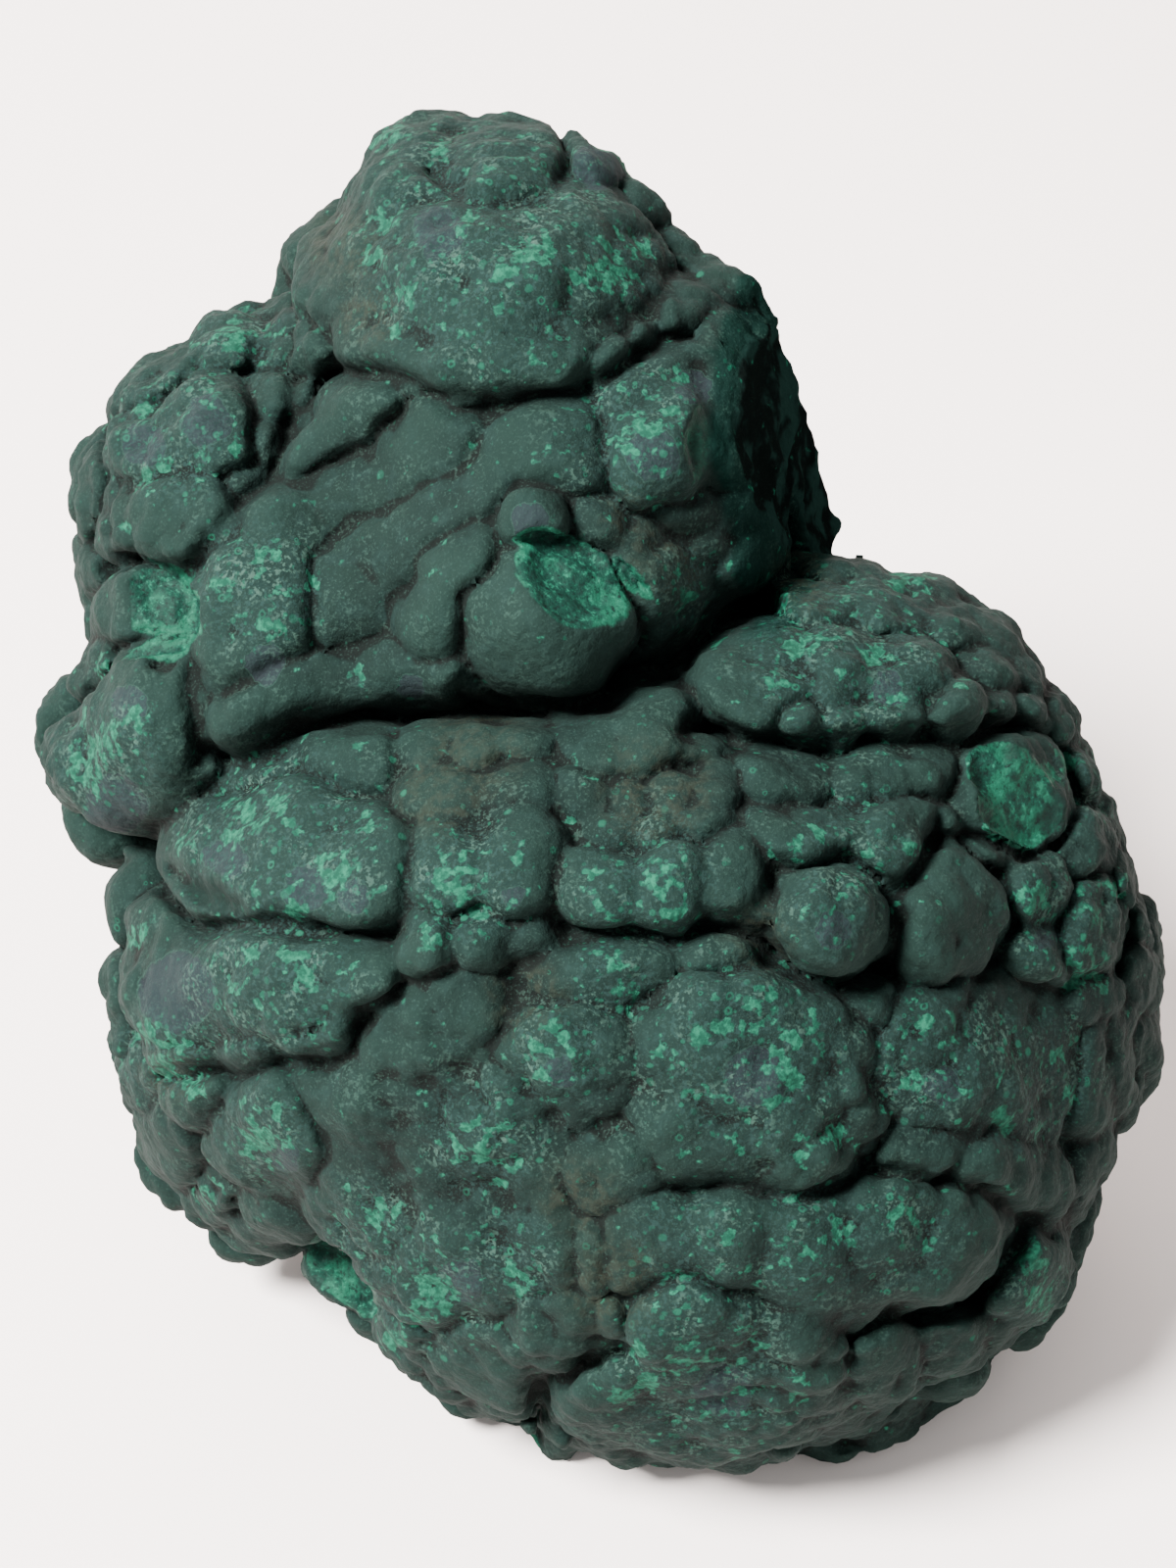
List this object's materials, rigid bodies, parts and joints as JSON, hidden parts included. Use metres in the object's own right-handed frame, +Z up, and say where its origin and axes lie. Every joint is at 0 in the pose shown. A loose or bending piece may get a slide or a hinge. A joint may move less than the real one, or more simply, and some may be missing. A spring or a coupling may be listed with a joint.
{
  "type": "malachite specimen",
  "caption": "Free-standing lump of nodular green malachite: a lobed tower leaning back over a broad knobbly belly, with a flat broken base and a rough broken back.",
  "frame": {"origin": "middle of the bounding box, on the flat broken base", "axes": "+Z up, -Y is the nodular face, +Y the broken back, +X to the right when the nodular face is looked at"},
  "size_m": [0.0978, 0.088, 0.0945],
  "materials": {
    "malachite": "velvety matte dark grey-green skin with bright green worn patches and darker creases"
  },
  "bodies": {
    "root": {"malachite": "malachite"}
  },
  "joints": []
}
